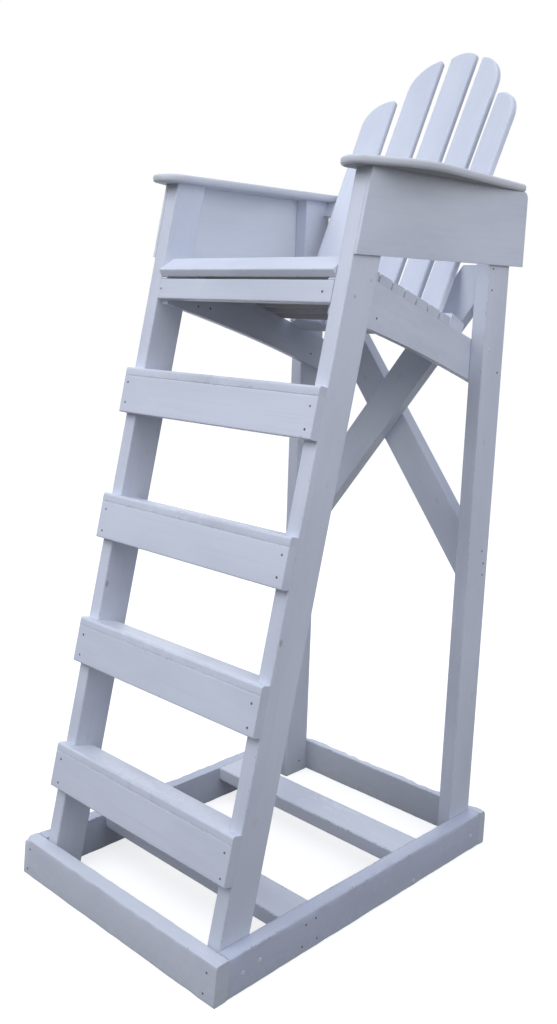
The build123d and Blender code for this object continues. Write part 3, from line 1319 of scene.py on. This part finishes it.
@dataclass
class Studio:
    """A pale floor under a soft sky, with a large lamp in front, a weak one at the right and one behind."""

    horizon: Colour = (0.264, 0.285, 0.342)
    zenith: Colour = (0.76, 0.82, 0.985)
    white: Colour = (1.0, 1.0, 1.0)
    floor_reach: float = 30.0
    floor_cells: int = 8
    floor_dark: Colour = (0.08, 0.068, 0.054)
    floor_pale: float = 0.50
    floor_lift: float = 0.73
    lamps: tuple[Lamp, ...] = (Lamp("key_lamp", (-0.8, -3.4, 3.8), 69.0, 2.6),
                               Lamp("fill_lamp", (2.7, -0.6, 2.6), 10.5, 2.6, (0.0, 0.0, 1.75), 105.0),
                               Lamp("rear_lamp", (-2.8, 3.6, 2.6), 38.0, 2.6))

    def build(self) -> None:
        """Set up the floor, the world and the lamps."""
        self.floor()
        self.world()
        for lamp in self.lamps:
            lamp.build()
        bpy.context.scene.view_settings.view_transform = "Standard"

    @staticmethod
    def seen(graph: Graph) -> Sock:
        """Tell rays that show a surface from rays that only light the object.

        Args:
            graph: The graph that asks.

        Returns:
            1 for camera, glossy and transmission rays.
        """
        rays = graph.node("ShaderNodeLightPath", "Is Camera Ray")
        outputs = rays.socket.node.outputs
        for name in ("Is Glossy Ray", "Is Transmission Ray"):
            rays = rays.largest(Sock(graph, outputs[name]))
        return rays

    def floor(self) -> None:
        """Lay the floor, which keeps the shadow and shows white elsewhere."""
        sheet = bmesh.new()
        bmesh.ops.create_grid(sheet, x_segments=self.floor_cells, y_segments=self.floor_cells, size=self.floor_reach)
        mesh = bpy.data.meshes.new("floor")
        sheet.to_mesh(mesh)
        sheet.free()
        floor = bpy.data.objects.new("floor", mesh)
        bpy.context.scene.collection.objects.link(floor)
        pale_colour = (self.floor_pale,) * 3
        material, graph = Graph.of_material("pale_floor", pale_colour)
        dark = graph.node("ShaderNodeBsdfDiffuse", "BSDF", None, {"Color": self.floor_dark})
        pale = graph.node("ShaderNodeBsdfDiffuse", "BSDF", None, {"Color": pale_colour})
        lift = graph.node("ShaderNodeEmission", "Emission", None, {"Color": self.white, "Strength": self.floor_lift})
        shown = graph.node("ShaderNodeAddShader", "Shader", None, {"Shader": pale, "Shader_001": lift})
        both = graph.node("ShaderNodeMixShader", "Shader", None,
                          {"Fac": self.seen(graph), "Shader": dark, "Shader_001": shown})
        graph.node("ShaderNodeOutputMaterial", None, None, {"Surface": both})
        mesh.materials.append(material)

    def world(self) -> None:
        """Light the object with a soft sky, brightest overhead, that shows white behind it."""
        world = bpy.data.worlds.new("soft_sky")
        world.use_nodes = True
        graph = Graph(world.node_tree)
        upward = graph.split(graph.node("ShaderNodeTexCoord", "Generated"))[2].clamped()
        sky = graph.node("ShaderNodeBackground", "Background", None,
                         {"Color": graph.blend(upward, self.horizon, self.zenith), "Strength": 1.0})
        white = graph.node("ShaderNodeBackground", "Background", None, {"Color": self.white, "Strength": 1.0})
        both = graph.node("ShaderNodeMixShader", "Shader", None,
                          {"Fac": self.seen(graph), "Shader": sky, "Shader_001": white})
        graph.node("ShaderNodeOutputWorld", None, None, {"Surface": both})
        bpy.context.scene.world = world


@dataclass
class Viewpoint:
    """The camera, as fitted to the edges of the boards in the photograph: radians, pixels and metres."""

    turn: float = 0.78233
    tilt: float = 0.20967
    roll: float = 0.026957
    focal: float = 1029.955
    centre: Spot = (252.781, 520.535)
    aside: float = 1.7148
    before_posts: float = 2.2733
    height: float = 1.4358
    sensor: float = 36.0
    farthest: float = 200.0

    def build(self) -> bpy.types.Object:
        """Set up the camera.

        Returns:
            The camera.
        """
        flat = math.cos(self.tilt)
        back = Vector((math.sin(self.turn) * flat, -math.cos(self.turn) * flat, math.sin(self.tilt)))
        right = Vector((math.cos(self.turn), math.sin(self.turn), 0.0))
        up = back.cross(right)
        level, lean = math.cos(self.roll), math.sin(self.roll)
        axes = Matrix((level * right + lean * up, level * up - lean * right, back)).transposed()
        data = bpy.data.cameras.new("viewpoint")
        data.sensor_fit = "AUTO"
        data.sensor_width = self.sensor
        data.lens = self.focal / PHOTO_HEIGHT * self.sensor
        data.shift_x = (PHOTO_WIDTH / 2.0 - self.centre[0]) / PHOTO_HEIGHT
        data.shift_y = (self.centre[1] - PHOTO_HEIGHT / 2.0) / PHOTO_HEIGHT
        data.clip_end = self.farthest
        camera = bpy.data.objects.new("viewpoint", data)
        place = Vector((self.aside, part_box("rear_post_right")[1].y - self.before_posts, self.height))
        camera.matrix_world = Matrix.Translation(place) @ axes.to_4x4()
        bpy.context.scene.collection.objects.link(camera)
        bpy.context.scene.camera = camera
        return camera


SCREW_HEAD = HeadShape("screw_head", ((0.50, 0.0), (0.50, 0.05), (0.44, 0.10), (0.36, 0.11)),
                       cross=(0.30, 0.10, 0.09))
PLUG_HEAD = HeadShape("plug_head", ((0.50, 0.0), (0.48, 0.05), (0.40, 0.10), (0.20, 0.12)), 20)


def main() -> None:
    """Build the view, paint the boards and set the fasteners."""
    logging.basicConfig(level=logging.INFO, format="%(name)s: %(message)s")
    Viewpoint().build()
    Studio().build()
    assemblies: list[Assembly] = [GroundFrame(), Uprights(), Ladder(), Seat(), Backrest(), Arms(), CrossBraces()]
    for assembly in assemblies:
        assembly.dress()
    screws = FastenerRow("screw_heads", SCREW_HEAD, ScrewSteel().make(), "leg_paint", across=5.6, sunk=0.3)
    plugs = FastenerRow("plug_caps", PLUG_HEAD, PaintedFiller().make(), "base_paint", across=11.0, sunk=0.2, seed=11)
    for row, tables in ((screws, [assembly.screws for assembly in assemblies]),
                        (plugs, [assembly.plugs for assembly in assemblies])):
        fixings = row.fixings(tables)
        LOG.info("fasteners: %s with %d heads", row.build(fixings).name, len(fixings))


if __name__ == "__main__":
    main()
